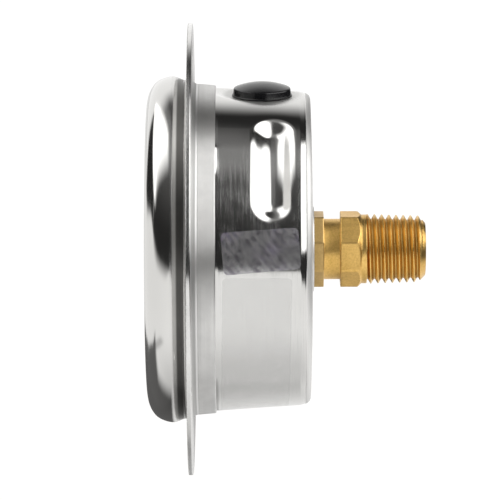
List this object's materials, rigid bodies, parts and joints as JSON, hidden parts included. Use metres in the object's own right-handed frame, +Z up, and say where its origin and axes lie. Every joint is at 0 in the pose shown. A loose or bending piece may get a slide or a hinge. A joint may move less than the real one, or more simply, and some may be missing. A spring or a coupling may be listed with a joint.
{
  "type": "pressure gauge",
  "caption": "Round dial pressure gauge with a polished steel case, front mounting flange, rubber filling plug and a centre-back brass pipe-thread socket.",
  "frame": {"origin": "on the gauge's axis, at the back face of the mounting flange", "axes": "+Y along the axis to the rear, towards the thread; +Z up to the dial's 12 o'clock and the filling plug; the dial faces -Y"},
  "size_m": [0.0884, 0.0544, 0.0884],
  "materials": {
    "case_steel": "polished stainless sheet with fine turning scratches",
    "bezel_steel": "mirror-polished stainless sheet",
    "flange_steel": "satin stainless sheet with a sheared edge",
    "window": "clear moulded pane",
    "gasket_rubber": "black seal rubber",
    "plug_rubber": "smooth semi-gloss black rubber",
    "film": "clear blank film",
    "foil": "plain silver foil",
    "socket_brass": "bright drawn and turned brass",
    "movement_brass": "stamped and turned brass",
    "tube_bronze": "drawn phosphor bronze",
    "pin_steel": "turned steel",
    "dial_white": "white painted aluminium",
    "pointer_black": "black painted aluminium"
  },
  "bodies": {
    "housing": {"case": "case_steel", "bezel": "bezel_steel", "window": "window", "window_gasket": "gasket_rubber", "mounting_flange": "flange_steel", "label_film": "film", "foil_patch": "foil", "socket": "socket_brass", "socket_o_ring": "gasket_rubber", "restrictor_screw": "movement_brass", "bourdon_tube": "tube_bronze", "hairspring": "tube_bronze", "hairspring_stud": "movement_brass", "movement_back_plate": "movement_brass", "movement_front_plate": "movement_brass", "movement_pillars": "movement_brass", "pillar_screws": "pin_steel", "movement_screws": "pin_steel", "dial_posts": "movement_brass", "dial": "dial_white", "dial_screws": "pin_steel", "stop_pin": "pin_steel"},
    "pointer_arbor": {"pointer": "pointer_black", "pointer_hub": "movement_brass", "pinion": "movement_brass", "hairspring_collet": "movement_brass"},
    "sector": {"sector_gear": "movement_brass", "sector_arbor": "pin_steel", "link_pin": "pin_steel"},
    "link": {"link": "movement_brass"},
    "tube_tip": {"tube_tip": "movement_brass", "tip_pin": "pin_steel"},
    "fill_plug": {"fill_plug": "plug_rubber"}
  },
  "joints": [
    {"name": "pointer_spin", "type": "hinge", "parent": "housing", "child": "pointer_arbor", "pos_m": [0, 0, 0], "axis": [0, 1, 0], "range_deg": [0, 270], "stiffness_Nm_per_rad": 0.001, "deforming": ["hairspring"]},
    {"name": "sector_swing", "type": "hinge", "parent": "housing", "child": "sector", "pos_m": [0.0142, 0.0065, -0.00888], "axis": [0, -1, 0], "range_deg": [0, 31.5]},
    {"name": "link_pivot", "type": "hinge", "parent": "sector", "child": "link", "pos_m": [0.01861, 0.0075, -0.01217], "axis": [0, 1, 0], "range_deg": [0, 30.72]},
    {"name": "tip_flex", "type": "hinge", "parent": "housing", "child": "tube_tip", "pos_m": [-0.00467, 0.009, 0.00587], "axis": [0, -1, 0], "range_deg": [0, 6.07], "deforming": ["bourdon_tube"]},
    {"name": "fill_plug_pull", "type": "slide", "parent": "housing", "child": "fill_plug", "axis": [0, 0, 1], "range_m": [0, 0.012]}
  ],
  "couplings": [
    {"joint": "sector_swing", "follows": "pointer_spin", "ratio": 0.11667},
    {"joint": "link_pivot", "follows": "pointer_spin", "ratio": 0.11375},
    {"joint": "tip_flex", "follows": "pointer_spin", "ratio": 0.022476}
  ]
}
